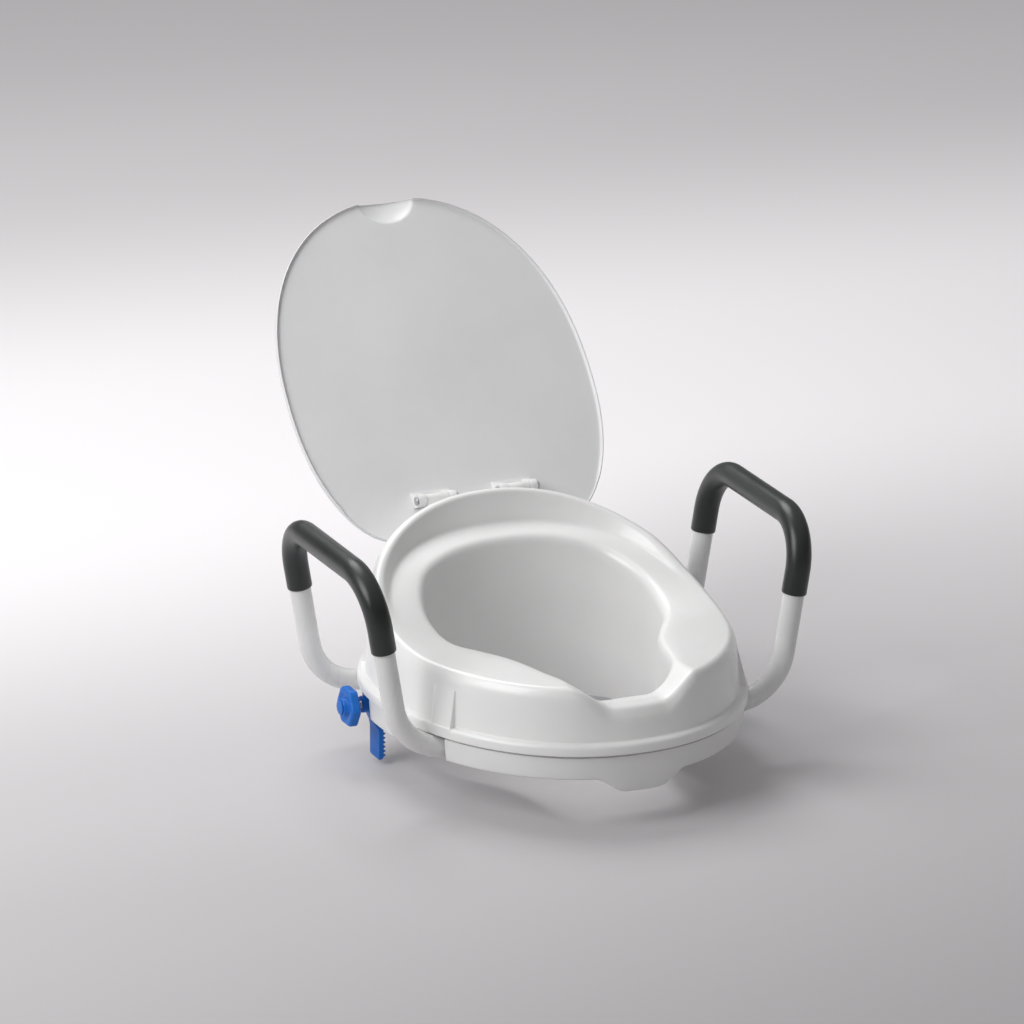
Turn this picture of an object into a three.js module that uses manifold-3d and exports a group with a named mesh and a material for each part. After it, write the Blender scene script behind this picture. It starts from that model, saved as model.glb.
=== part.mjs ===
// Raised toilet seat with a lid, two slide-in armrests and two side clamps.
// Millimetres, +Z up. The sitter faces -Y, the lid is at +Y, the left armrest is at -X.
// The origin is the centre of the plane that rests on the rim of the toilet bowl.
import * as THREE from 'three';
import { mergeVertices } from 'three/addons/utils/BufferGeometryUtils.js';
import Module from 'manifold-3d';

const wasm = await Module();
wasm.setup();

// ---------------------------------------------------------------- driving dimensions
const GAP = 0.3; // clearance between touching pieces

// Plan outline of the seat, measured at its bottom ledge.
const SEAT = { halfWidth: 190, centreY: 15.8, front: 242, rear: 179.4, frontPower: 2.1, rearPower: 2.15 };
const LEDGE = { bottom: 26, face: 32.5, top: 37.5, width: 8 };
const SEAT_TOP = { front: 92, rise: 80, riseStart: -70, riseLength: 246, backrest: 27, wall: 4 };
const BACK_LIP = { height: 7, start: 40, length: 60 };
const RECESS = { depth: 22, halfWidth: 70, blend: 45 };
const INNER_WALL = { rear: -32, front: -12, blendStart: -60, blendLength: 98 };
const BOSS = { bearings: [55.3, 124.5], halfAngle: 4.6 };

// Half of the bowl opening, from the front centre to the rear centre, with the bearing
// (degrees from straight ahead, seen from the seat centre) that each point is joined to.
const OPENING = [
  { x: 0, y: -168, bearing: 0 },
  { x: 28, y: -167.5, bearing: 7 },
  { x: 49, y: -162.5, bearing: 12 },
  { x: 60.5, y: -150, bearing: 16 },
  { x: 66, y: -132, bearing: 21 },
  { x: 71, y: -105, bearing: 29.5 },
  { x: 79, y: -76, bearing: 41 },
  { x: 94, y: -47, bearing: 54.5 },
  { x: 111.5, y: -18, bearing: 70 },
  { x: 119, y: 12, bearing: 88 },
  { x: 117, y: 48, bearing: 106.5 },
  { x: 100, y: 86, bearing: 125 },
  { x: 62, y: 113, bearing: 149.5 },
  { x: 0, y: 124, bearing: 180 },
];

const TRAY = { floor: 2.5, plate: 4, skirtTop: 23.5, register: 30, wall: 4 };
const LUG = { depth: 15, flat: 18, foot: 50, thickness: 6 };

const TUBE = { radius: 10.9, bore: 9.3, topX: 235.5, bottomX: 205.4, topZ: 191, bottomZ: 12.3 };
const ARM = { frontY: -92.5, rearY: 125, topBend: 49, bottomBend: 55, frontEnd: 110, rearEnd: 90 };
const GRIP = { radius: 12.8, bore: 11.5, legCover: 73 };
const SOCKET = { bore: 11.4, halfWidth: 15.5, bottom: 0.7, top: 26.4, flange: 25, flangeThickness: 4 };
const SOCKET_ENDS = { front: [106, 152], rear: [86, 123] };

const LID = { centre: 116.3, halfWidth: 168.5, tip: 220.4, rear: 200, tipPower: 2.2, rearPower: 2.31 };
const LID_PLATE = { thickness: 3.5, lip: 3.5, lipWidth: 2.5, scoopRadius: 31, scoopDepth: 8 };
const LID_CUT = { hinges: 16, middle: 40, corners: 52, notch: 23, corner: 28 };
const LID_FOOT = { y: 208.7, z: 165.9, leanBack: 42 };
const HINGE = { y: 191.7, z: 169.3, x: 45, pin: 3, barrel: 5.5, halfWidth: 12, ear: 8, leaf: 15 };

const CLAMP = { y: 52, z: 12.5, rod: 3.5, knobRadius: 21, knobInner: 193.5, knobOuter: 206 };
const JAW = { inner: 168.5, outer: 173.5, crank: 10, headInner: 178.5, headOuter: 188, bottom: -46, shoulder: -14 };
const BEARING = { inner: 128, outer: 149, halfWidth: 12, top: 24 };

// ---------------------------------------------------------------- materials
function material(color, roughness, metalness = 0) {
  return new THREE.MeshStandardMaterial({ color, roughness, metalness });
}
const whitePlastic = material(0xf2f2f0, 0.25);
const lidPlastic = material(0xe6e6e8, 0.3);
const trayPlastic = material(0xe9eae9, 0.4);
const whiteEnamel = material(0xf0f0ee, 0.25, 0.1);
const darkFoam = material(0x343836, 0.6);
const bluePlastic = material(0x0a62d6, 0.35);
const greyRubber = material(0x6d7072, 0.8);
const steel = material(0xb8bbbe, 0.3, 1);

// ---------------------------------------------------------------- geometry helpers
const DEGREE = Math.PI / 180;
const group = new THREE.Group();

function addPiece(parent, name, geometry, surface) {
  const piece = new THREE.Mesh(geometry, surface);
  piece.name = name;
  parent.add(piece);
  return piece;
}

function smoothStep(value) {
  const t = Math.min(1, Math.max(0, value));
  return t * t * (3 - 2 * t);
}

function closedMesh(points, triangles) {
  const geometry = new THREE.BufferGeometry();
  geometry.setAttribute('position', new THREE.Float32BufferAttribute(points.flatMap((p) => [p.x, p.y, p.z]), 3));
  geometry.setIndex(triangles.flat());
  return geometry;
}

// A closed ring of closed loops: loops[i][j] runs around the section j of station i.
function ringLoft(loops) {
  const count = loops[0].length;
  const triangles = [];
  for (let i = 0; i < loops.length; i += 1) {
    const next = (i + 1) % loops.length;
    for (let j = 0; j < count; j += 1) {
      const k = (j + 1) % count;
      triangles.push([i * count + j, next * count + j, next * count + k]);
      triangles.push([i * count + j, next * count + k, i * count + k]);
    }
  }
  return closedMesh(loops.flat(), triangles);
}

function toSolid(geometry) {
  const bare = geometry.clone();
  bare.deleteAttribute('normal');
  bare.deleteAttribute('uv');
  bare.clearGroups();
  const merged = mergeVertices(bare, 1e-4);
  return new wasm.Manifold(new wasm.Mesh({
    numProp: 3,
    vertProperties: new Float32Array(merged.attributes.position.array),
    triVerts: new Uint32Array(merged.index.array),
  }));
}

function toGeometry(solid) {
  const mesh = solid.getMesh();
  const geometry = new THREE.BufferGeometry();
  geometry.setAttribute('position', new THREE.BufferAttribute(new Float32Array(mesh.vertProperties), 3));
  geometry.setIndex(new THREE.BufferAttribute(new Uint32Array(mesh.triVerts), 1));
  return geometry;
}

function joinAll(geometries) {
  return toGeometry(geometries.map(toSolid).reduce((sum, solid) => sum.add(solid)));
}

function keepShared(first, second) {
  return toGeometry(toSolid(first).intersect(toSolid(second)));
}

function cutAll(geometry, cutters) {
  return toGeometry(cutters.map(toSolid).reduce((rest, cutter) => rest.subtract(cutter), toSolid(geometry)));
}

function block(x0, x1, y0, y1, z0, z1) {
  const box = new THREE.BoxGeometry(Math.abs(x1 - x0), y1 - y0, z1 - z0);
  return box.translate((x0 + x1) / 2, (y0 + y1) / 2, (z0 + z1) / 2);
}

function rodAlongX(radius, x0, x1, y, z, sides = 16) {
  const rod = new THREE.CylinderGeometry(radius, radius, Math.abs(x1 - x0), sides);
  return rod.rotateZ(Math.PI / 2).translate((x0 + x1) / 2, y, z);
}

function rodAlongZ(radius, x, y, z0, z1, sides = 10) {
  const rod = new THREE.CylinderGeometry(radius, radius, z1 - z0, sides);
  return rod.rotateX(Math.PI / 2).translate(x, y, (z0 + z1) / 2);
}

// Extrudes an outline drawn in the Y-Z plane along X, from x0 to x1.
function extrudeAlongX(shape, x0, x1) {
  const depth = Math.abs(x1 - x0);
  const solid = new THREE.ExtrudeGeometry(shape, { depth, bevelEnabled: false, curveSegments: 8 });
  const toWorld = new THREE.Matrix4().set(0, 0, 1, Math.min(x0, x1), 1, 0, 0, 0, 0, 1, 0, 0, 0, 0, 0, 1);
  return solid.applyMatrix4(toWorld);
}

function circleHole(x, y, radius) {
  const hole = new THREE.Path();
  hole.absarc(x, y, radius, 0, 2 * Math.PI, true);
  return hole;
}

// ---------------------------------------------------------------- seat outline
function outlinePoint(bearing) {
  const angle = (bearing - 90) * DEGREE;
  const across = Math.abs(Math.cos(angle)) / SEAT.halfWidth;
  const ahead = Math.sin(angle) < 0;
  const along = Math.abs(Math.sin(angle)) / (ahead ? SEAT.front : SEAT.rear);
  const power = ahead ? SEAT.frontPower : SEAT.rearPower;
  const reach = (across ** power + along ** power) ** (-1 / power);
  return new THREE.Vector2(reach * Math.cos(angle), SEAT.centreY + reach * Math.sin(angle));
}

const openingCurve = new THREE.CatmullRomCurve3(
  [...OPENING, ...OPENING.slice(1, -1).reverse().map((p) => ({ x: -p.x, y: p.y }))]
    .map((p) => new THREE.Vector3(p.x, p.y, 0)),
  true,
  'centripetal',
);

function openingPoint(bearing) {
  const half = bearing <= 180 ? bearing : 360 - bearing;
  let index = OPENING.findIndex((p) => p.bearing > half) - 1;
  if (index < 0) index = OPENING.length - 2;
  const [from, to] = [OPENING[index].bearing, OPENING[index + 1].bearing];
  const position = (index + (half - from) / (to - from)) / (2 * (OPENING.length - 1));
  const point = openingCurve.getPoint(position);
  return new THREE.Vector2(bearing <= 180 ? point.x : -point.x, point.y);
}

// Stations around the seat, closer together where the wall changes quickly.
const FRONT_BEARINGS = [0, 4, 8, 10.5, 11.7, 12.9, 14.1, 15.3, 16.5, 19, 24, 31, 38, 44, 49.6, 50.8];
const REAR_BEARINGS = [55.3, 59.8, 61, 67, 74, 81, 88, 95, 102, 109, 118.8, 120, 124.5, 129, 130.2, 138, 147, 157, 168];
const HALF_BEARINGS = [...FRONT_BEARINGS, ...REAR_BEARINGS];
const BEARINGS = [...HALF_BEARINGS, 180, ...HALF_BEARINGS.slice(1).reverse().map((b) => 360 - b)];

function station(bearing) {
  const outer = outlinePoint(bearing);
  const inner = openingPoint(bearing);
  const length = outer.distanceTo(inner);
  const inward = inner.clone().sub(outer).divideScalar(length);
  const at = (inset, z) => new THREE.Vector3(outer.x + inward.x * inset, outer.y + inward.y * inset, z);
  const crest = at(20, 0);
  return { bearing, length, at, crest };
}

function backLip(place) {
  return BACK_LIP.height * smoothStep((place.crest.y - BACK_LIP.start) / BACK_LIP.length);
}

function crestHeight(place) {
  const rise = Math.max(0, (place.crest.y - SEAT_TOP.riseStart) / SEAT_TOP.riseLength);
  const inFront = place.crest.y < SEAT.centreY;
  const recess = inFront ? smoothStep((RECESS.halfWidth - Math.abs(place.crest.x)) / RECESS.blend) : 0;
  return SEAT_TOP.front + SEAT_TOP.rise * rise ** 2 - RECESS.depth * recess + backLip(place);
}

function backrestHeight(place) {
  const rise = Math.max(0, (place.crest.y - SEAT_TOP.riseStart) / SEAT_TOP.riseLength);
  return SEAT_TOP.backrest * rise ** 4 + backLip(place);
}

function onBoss(bearing) {
  const half = Math.min(bearing, 360 - bearing);
  return BOSS.bearings.some((centre) => Math.abs(half - centre) < BOSS.halfAngle);
}

// The splash wall reaches deeper into the bowl at the sides and back than at the front.
function innerWallBottom(y) {
  const { rear, front, blendStart, blendLength } = INNER_WALL;
  return rear + (front - rear) * smoothStep((blendStart - y) / blendLength);
}

// ---------------------------------------------------------------- seat shell
function seatSection(bearing) {
  const place = station(bearing);
  const { length, at } = place;
  const crest = crestHeight(place);
  const backrest = backrestHeight(place);
  const seat = crest - backrest;
  const boss = onBoss(bearing) ? 1 : 0;
  const wallBottom = innerWallBottom(at(length, 0).y);
  const outside = [
    [0, LEDGE.bottom],
    [0, LEDGE.face],
    [2 - boss, LEDGE.top - 1.5],
    [LEDGE.width - 6 * boss, LEDGE.top],
    [9.5 - 3 * boss, 55],
    [12.5, crest - 12],
    [14.8, crest - 5],
    [18.5, crest - 1.3],
    [23, crest],
    [27, crest - 0.2 * backrest],
    [31, crest - 0.82 * backrest],
    [35, seat],
    [length - 18, seat - 1.2],
    [length - 9, seat - 3.2],
    [length - 4, seat - 6],
    [length - 1, seat - 11],
    [length, seat - 18],
    [length + 2, wallBottom],
  ];
  const inside = [
    [length - 2, wallBottom],
    [length - 4, seat - 22.5],
    [length - 8, seat - 13],
    [length - 15, seat - 8.5],
    [34, seat - 5],
    [23, seat - 5.5],
    [17, seat - 13],
    [12, LEDGE.top - SEAT_TOP.wall],
    [4.2, LEDGE.face],
    [4, LEDGE.bottom],
  ];
  return [...outside, ...inside].map(([inset, z]) => at(inset, z));
}

function seatShell() {
  return ringLoft(BEARINGS.map(seatSection));
}

// ---------------------------------------------------------------- base tray
function lugDrop(place) {
  const reach = Math.abs(place.at(8, 0).x);
  const inFront = place.crest.y < SEAT.centreY;
  return inFront ? LUG.depth * smoothStep((LUG.foot - reach) / (LUG.foot - LUG.flat)) : 0;
}

function traySection(bearing) {
  const place = station(bearing);
  const { length, at } = place;
  const drop = lugDrop(place);
  const top = TRAY.floor + TRAY.plate;
  return [
    [5, TRAY.skirtTop],
    [5, TRAY.register],
    [8, TRAY.register],
    [8.4, 12],
    [12, top],
    [length - 6, top],
    [length - 6, TRAY.floor],
    [12.5, TRAY.floor],
    [5.2 + LUG.thickness, -drop],
    [6.4, -drop],
    [5.2, 1.2 - drop],
    [4.2, 12],
    [3.5, TRAY.skirtTop],
  ].map(([inset, z]) => at(inset, z));
}

function tubeSlots(side) {
  const slots = [];
  for (const [y, [x0, x1]] of [[ARM.frontY, SOCKET_ENDS.front], [ARM.rearY, SOCKET_ENDS.rear]]) {
    slots.push(block(side * (x0 - GAP), side * (x1 + GAP), y - 16, y + 16, -1, 9));
    slots.push(block(side * (x1 - 1), side * 200, y - 12, y + 12, -1, 26.4));
  }
  return slots;
}

function clampSlot(side) {
  return block(side * 150, side * 200, CLAMP.y - 15, CLAMP.y + 15, -1, TRAY.skirtTop);
}

function baseTray() {
  const cutters = [-1, 1].flatMap((side) => [...tubeSlots(side), clampSlot(side)]);
  return cutAll(ringLoft(BEARINGS.map(traySection)), cutters);
}

// ---------------------------------------------------------------- armrests
// A bent bar: straight runs joined by arcs, sampled only where it bends.
class BentBar extends THREE.Curve {
  constructor(corners, radii, arcSteps = 4) {
    super();
    this.stops = [{ point: corners[0], tangent: corners[1].clone().sub(corners[0]).normalize() }];
    for (let i = 1; i < corners.length - 1; i += 1) {
      const before = corners[i].clone().sub(corners[i - 1]).normalize();
      const after = corners[i + 1].clone().sub(corners[i]).normalize();
      const turn = before.angleTo(after);
      const setback = radii[i - 1] * Math.tan(turn / 2);
      const axis = before.clone().cross(after).normalize();
      const start = corners[i].clone().addScaledVector(before, -setback);
      const centre = start.clone().addScaledVector(axis.clone().cross(before), radii[i - 1]);
      for (let step = 0; step <= arcSteps; step += 1) {
        const angle = (turn * step) / arcSteps;
        const point = start.clone().sub(centre).applyAxisAngle(axis, angle).add(centre);
        this.stops.push({ point, tangent: before.clone().applyAxisAngle(axis, angle) });
      }
    }
    const last = corners[corners.length - 1];
    this.stops.push({ point: last, tangent: last.clone().sub(corners[corners.length - 2]).normalize() });
  }

  get spans() {
    return this.stops.length - 1;
  }

  getPointAt(u) {
    return this.stops[Math.round(u * this.spans)].point.clone();
  }

  getPoint(u) {
    return this.getPointAt(u);
  }

  getTangentAt(u) {
    return this.stops[Math.round(u * this.spans)].tangent.clone();
  }
}

function hoseAlong(path, outerRadius, innerRadius, sides = 10) {
  const ring = (radius) => Array.from({ length: sides }, (_, i) => {
    const angle = (2 * Math.PI * i) / sides;
    return new THREE.Vector2(radius * Math.cos(angle), radius * Math.sin(angle));
  });
  const section = new THREE.Shape(ring(outerRadius));
  section.holes.push(new THREE.Path(ring(innerRadius).reverse()));
  return new THREE.ExtrudeGeometry(section, { steps: path.spans, bevelEnabled: false, extrudePath: path });
}

function armCorners(side) {
  const corner = (x, y, z) => new THREE.Vector3(side * x, y, z);
  return [
    corner(ARM.frontEnd, ARM.frontY, TUBE.bottomZ),
    corner(TUBE.bottomX, ARM.frontY, TUBE.bottomZ),
    corner(TUBE.topX, ARM.frontY, TUBE.topZ),
    corner(TUBE.topX, ARM.rearY, TUBE.topZ),
    corner(TUBE.bottomX, ARM.rearY, TUBE.bottomZ),
    corner(ARM.rearEnd, ARM.rearY, TUBE.bottomZ),
  ];
}

function armTube(side) {
  const bends = [ARM.bottomBend, ARM.topBend, ARM.topBend, ARM.bottomBend];
  return hoseAlong(new BentBar(armCorners(side), bends), TUBE.radius, TUBE.bore);
}

function armGrip(side) {
  const corners = armCorners(side);
  const downLeg = (top, bottom) => top.clone().addScaledVector(bottom.clone().sub(top).normalize(), GRIP.legCover);
  const path = [downLeg(corners[2], corners[1]), corners[2], corners[3], downLeg(corners[3], corners[4])];
  return hoseAlong(new BentBar(path, [ARM.topBend, ARM.topBend]), GRIP.radius, GRIP.bore);
}

function tubePlug(side, endX, y) {
  const head = rodAlongX(10.6, side * (endX - 2.5), side * (endX - GAP), y, TUBE.bottomZ, 12);
  const stem = rodAlongX(8.6, side * (endX - 1), side * (endX + 12), y, TUBE.bottomZ, 12);
  return joinAll([head, stem]);
}

function armSocket(side, y, [x0, x1]) {
  const body = block(side * x0, side * x1, y - SOCKET.halfWidth, y + SOCKET.halfWidth, SOCKET.bottom, SOCKET.top);
  const z0 = TRAY.floor + TRAY.plate + GAP;
  const flange = block(
    side * (x0 + 8),
    side * (x1 - 10),
    y - SOCKET.flange,
    y + SOCKET.flange,
    z0,
    z0 + SOCKET.flangeThickness,
  );
  const bore = rodAlongX(SOCKET.bore, side * (x0 - 1), side * (x1 + 1), y, TUBE.bottomZ, 24);
  const holes = [-1, 1].map((end) => rodAlongZ(2.4, side * (x0 + x1) / 2, y + end * 20.5, 0, 20));
  return cutAll(joinAll([body, flange]), [bore, ...holes]);
}

function socketScrew(x, y) {
  const top = TRAY.floor + TRAY.plate + GAP + SOCKET.flangeThickness + GAP;
  const profile = [[0, top - 3.6], [2, top - 3.6], [2, top], [4, top], [4, top + 1.6], [2.6, top + 2.8], [0, top + 2.8]];
  const screw = new THREE.LatheGeometry(profile.map(([r, z]) => new THREE.Vector2(r, z)), 8);
  return screw.rotateX(Math.PI / 2).translate(x, y, 0);
}

// ---------------------------------------------------------------- lid
// Lid pieces are built flat: X across, Y from the hinge to the tip, Z out of the underside.
function lidReach(angle) {
  const across = Math.abs(Math.cos(angle)) / LID.halfWidth;
  const towardTip = Math.sin(angle) > 0;
  const along = Math.abs(Math.sin(angle)) / (towardTip ? LID.tip : LID.rear);
  const power = towardTip ? LID.tipPower : LID.rearPower;
  const egg = (across ** power + along ** power) ** (-1 / power);
  if (towardTip) return egg;
  const fromRear = Math.abs(angle / DEGREE - 270);
  const middle = (LID_CUT.middle - LID_CUT.hinges) * smoothStep((fromRear - LID_CUT.notch) / 3);
  const corner = (LID_CUT.corners - LID_CUT.middle) * smoothStep((fromRear - LID_CUT.corner) / 6);
  const cutLine = LID.centre + LID_CUT.hinges + middle + corner;
  const cut = cutLine / Math.max(1e-6, Math.abs(Math.sin(angle)));
  return (egg ** -14 + cut ** -14) ** (-1 / 14);
}

function scoopDepth(x, y) {
  const tip = LID.centre + LID.tip;
  const distance = Math.hypot(x, y - tip) / LID_PLATE.scoopRadius;
  return distance < 1 ? LID_PLATE.scoopDepth * (1 - distance ** 2) : 0;
}

function lidSection(angle) {
  const reach = lidReach(angle);
  const { thickness, lip, lipWidth } = LID_PLATE;
  const tipward = Math.sin(angle) > 0.6;
  const lipHeight = tipward && Math.abs(reach * Math.cos(angle)) < LID_PLATE.scoopRadius ? 1 : lip;
  const hem = Math.sin(angle) < -0.62 ? 1 : lipHeight;
  return [
    [0.8, 0],
    [1 - 14 / reach, 0],
    [1 - (lipWidth + 1) / reach, 0.2],
    [1 - lipWidth / reach, hem],
    [1 - 0.6 / reach, hem],
    [1, hem - 0.6],
    [1, -thickness + 1],
    [1 - 1 / reach, -thickness],
    [1 - 14 / reach, -thickness],
    [0.8, -thickness],
  ].map(([share, z]) => {
    const x = share * reach * Math.cos(angle);
    const y = LID.centre + share * reach * Math.sin(angle);
    return new THREE.Vector3(x, y, z - scoopDepth(x, y));
  });
}

// Finer steps round the finger scoop and the corners of the hinge notch.
function lidStep(degrees) {
  const atScoop = Math.abs(degrees - 90) < 12;
  const atNotch = Math.abs(Math.abs(degrees - 270.5) - 24.5) < 4;
  return atScoop || atNotch ? 1.5 : 7;
}

function lidAngles() {
  const angles = [];
  for (let degrees = 0; degrees < 360; degrees += lidStep(degrees)) angles.push(degrees * DEGREE);
  return angles;
}

function lidPlate() {
  const sections = lidAngles().map(lidSection);
  const count = sections[0].length;
  const triangles = [];
  for (let i = 0; i < sections.length; i += 1) {
    const next = (i + 1) % sections.length;
    for (let j = 0; j < count - 1; j += 1) {
      triangles.push([i * count + j, i * count + j + 1, next * count + j + 1]);
      triangles.push([i * count + j, next * count + j + 1, next * count + j]);
    }
  }
  const points = sections.flat();
  const under = points.push(new THREE.Vector3(0, LID.centre, 0)) - 1;
  const over = points.push(new THREE.Vector3(0, LID.centre, -LID_PLATE.thickness)) - 1;
  for (let i = 0; i < sections.length; i += 1) {
    const next = (i + 1) % sections.length;
    triangles.push([under, i * count, next * count]);
    triangles.push([over, next * count + count - 1, i * count + count - 1]);
  }
  return closedMesh(points, triangles);
}

const LID_TILT = (90 - LID_FOOT.leanBack) * DEGREE;

// The hinge axis in the lid's own flat frame.
const LID_AXIS = new THREE.Vector2(HINGE.y - LID_FOOT.y, HINGE.z - LID_FOOT.z)
  .rotateAround(new THREE.Vector2(0, 0), -LID_TILT);

function lidHinge(side) {
  const ears = [-1, 1].map((end) => {
    const inner = side * HINGE.x + end * (HINGE.halfWidth + GAP + 0.2);
    const ear = new THREE.Shape();
    ear.moveTo(LID_AXIS.x - 2, 1);
    ear.lineTo(LID_AXIS.x + HINGE.leaf - 2, 1);
    ear.lineTo(LID_AXIS.x + HINGE.leaf - 2, 3.2);
    ear.lineTo(LID_AXIS.x + 5.6, LID_AXIS.y + 3);
    ear.absarc(LID_AXIS.x, LID_AXIS.y, 6.4, 0.45, Math.PI, false);
    ear.holes.push(circleHole(LID_AXIS.x, LID_AXIS.y, HINGE.pin + GAP));
    return extrudeAlongX(ear, inner, inner + end * HINGE.ear);
  });
  const span = HINGE.halfWidth + HINGE.ear + 1;
  const leaf = block(
    side * HINGE.x - span,
    side * HINGE.x + span,
    LID_AXIS.x - 2,
    LID_AXIS.x + HINGE.leaf,
    GAP,
    3.2,
  );
  return joinAll([leaf, ...ears]);
}

function hingeBracket(side) {
  const { y, z } = HINGE;
  const outline = new THREE.Shape();
  outline.moveTo(y - 10, z - 44);
  outline.lineTo(y - 5, z - 44);
  outline.lineTo(y - 5, z - 16);
  outline.lineTo(y + HINGE.barrel, z - 1);
  outline.absarc(y, z, HINGE.barrel, 0, Math.PI, false);
  outline.lineTo(y - 10, z - 14);
  outline.holes.push(circleHole(y, z, HINGE.pin + GAP));
  const x = side * HINGE.x;
  const body = extrudeAlongX(outline, x - HINGE.halfWidth, x + HINGE.halfWidth);
  const cutters = [-1, 1].map((end) => rodAlongY(2.4, x + end * 6, y - 12, y - 3, z - 34));
  return cutAll(body, cutters);
}

function rodAlongY(radius, x, y0, y1, z, sides = 10) {
  return new THREE.CylinderGeometry(radius, radius, y1 - y0, sides).translate(x, (y0 + y1) / 2, z);
}

function hingePin(side) {
  const half = HINGE.halfWidth + HINGE.ear + 1.5;
  const shaft = rodAlongX(HINGE.pin, side * HINGE.x - half, side * HINGE.x + half, HINGE.y, HINGE.z, 12);
  const heads = [-1, 1].map((end) => {
    const x = side * HINGE.x + end * half;
    return rodAlongX(4.4, x, x + end * 1.8, HINGE.y, HINGE.z, 12);
  });
  return joinAll([shaft, ...heads]);
}

function bracketScrew(side, end) {
  const y = HINGE.y - 5 + GAP;
  const head = rodAlongY(4, side * HINGE.x + end * 6, y, y + 2.2, HINGE.z - 34);
  const shank = rodAlongY(2, side * HINGE.x + end * 6, y - 4.6, y + 0.5, HINGE.z - 34);
  return joinAll([head, shank]);
}

// ---------------------------------------------------------------- clamps
function clampKnob(side) {
  const lobes = 6;
  const outline = new THREE.Shape();
  const steps = 36;
  for (let i = 0; i < steps; i += 1) {
    const angle = (2 * Math.PI * i) / steps;
    const radius = CLAMP.knobRadius - 2.2 * (0.5 - 0.5 * Math.cos(lobes * angle));
    const [y, z] = [CLAMP.y + radius * Math.cos(angle), CLAMP.z + radius * Math.sin(angle)];
    if (i === 0) outline.moveTo(y, z);
    else outline.lineTo(y, z);
  }
  const wheel = extrudeAlongX(outline, side * (CLAMP.knobInner + 2), side * CLAMP.knobOuter);
  const hub = rodAlongX(9, side * CLAMP.knobInner, side * (CLAMP.knobOuter + 4), CLAMP.y, CLAMP.z, 16);
  const bore = rodAlongX(CLAMP.rod + GAP, side * 190, side * (CLAMP.knobOuter + 6), CLAMP.y, CLAMP.z, 16);
  return cutAll(joinAll([wheel, hub]), [bore]);
}

function clampRod(side) {
  const shaft = rodAlongX(CLAMP.rod, side * 122, side * 208, CLAMP.y, CLAMP.z);
  const collar = rodAlongX(6, side * (BEARING.outer + GAP), side * (BEARING.outer + 2.8), CLAMP.y, CLAMP.z);
  return joinAll([shaft, collar]);
}

function knobCap(side) {
  return rodAlongX(7.5, side * (CLAMP.knobOuter + 4 + GAP), side * (CLAMP.knobOuter + 6), CLAMP.y, CLAMP.z, 16);
}

function rodClip(side) {
  const outer = rodAlongX(6, side * (BEARING.inner - 1.6), side * (BEARING.inner - GAP), CLAMP.y, CLAMP.z);
  const bore = rodAlongX(CLAMP.rod + 0.2, side * 120, side * 130, CLAMP.y, CLAMP.z);
  return cutAll(outer, [bore]);
}

function clampBearing(side) {
  const z0 = TRAY.floor + TRAY.plate + GAP;
  const [y0, y1] = [CLAMP.y - BEARING.halfWidth, CLAMP.y + BEARING.halfWidth];
  const body = block(side * BEARING.inner, side * BEARING.outer, y0, y1, z0, BEARING.top);
  const bore = rodAlongX(CLAMP.rod + GAP, side * 120, side * 152, CLAMP.y, CLAMP.z, 16);
  return cutAll(body, [bore]);
}

function clampJaw(side) {
  const { y } = CLAMP;
  const head = new THREE.Shape();
  head.absarc(y, CLAMP.z, 8.6, 0, 2 * Math.PI, false);
  const top = CLAMP.z - 3;
  const arm = new THREE.Shape([
    new THREE.Vector2(side * (JAW.inner + JAW.crank), top),
    new THREE.Vector2(side * JAW.inner, JAW.shoulder),
    new THREE.Vector2(side * JAW.inner, JAW.bottom + 2),
    new THREE.Vector2(side * (JAW.inner + 1), JAW.bottom),
    new THREE.Vector2(side * (JAW.outer - 1), JAW.bottom),
    new THREE.Vector2(side * JAW.outer, JAW.bottom + 2),
    new THREE.Vector2(side * JAW.outer, JAW.shoulder),
    new THREE.Vector2(side * (JAW.outer + JAW.crank), top),
  ]);
  const face = new THREE.Shape();
  face.moveTo(y - 7, CLAMP.z);
  face.lineTo(y - 7, JAW.shoulder + 8);
  face.lineTo(y - 12, JAW.shoulder);
  face.lineTo(y - 12, JAW.bottom + 3);
  face.lineTo(y - 9, JAW.bottom - 1);
  face.lineTo(y + 9, JAW.bottom - 1);
  face.lineTo(y + 12, JAW.bottom + 3);
  face.lineTo(y + 12, JAW.shoulder);
  face.lineTo(y + 7, JAW.shoulder + 8);
  face.lineTo(y + 7, CLAMP.z);
  const slab = new THREE.ExtrudeGeometry(arm, { depth: 24, bevelEnabled: false });
  slab.rotateX(Math.PI / 2).translate(0, y + 12, 0);
  const inFace = extrudeAlongX(face, side * (JAW.inner - 4), side * (JAW.headOuter + 4));
  const plate = keepShared(slab, inFace);
  const teeth = Array.from({ length: 6 }, (_, i) => {
    const z = JAW.bottom + 5 + i * 4.6;
    const tooth = new THREE.Shape([
      new THREE.Vector2(side * (JAW.inner + 0.8), z - 1.9),
      new THREE.Vector2(side * (JAW.inner + 0.8), z + 1.9),
      new THREE.Vector2(side * (JAW.inner - 2.6), z),
    ]);
    const ridge = new THREE.ExtrudeGeometry(tooth, { depth: 24, bevelEnabled: false });
    return ridge.rotateX(Math.PI / 2).translate(0, y + 12, 0);
  });
  const solid = joinAll([
    extrudeAlongX(head, side * JAW.headInner, side * JAW.headOuter),
    plate,
    ...teeth,
  ]);
  const bore = rodAlongX(CLAMP.rod + GAP, side * (JAW.headInner - 6), side * (JAW.headOuter + 6), y, CLAMP.z);
  return cutAll(solid, [bore]);
}

// ---------------------------------------------------------------- feet of the tray
const PADS = { front_left: [-95, -150], front_right: [95, -150], rear_left: [-48, 158], rear_right: [48, 158] };

function rimPad([x, y]) {
  return block(x - 13, x + 13, y - 8, y + 8, 0, TRAY.floor - GAP);
}

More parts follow.
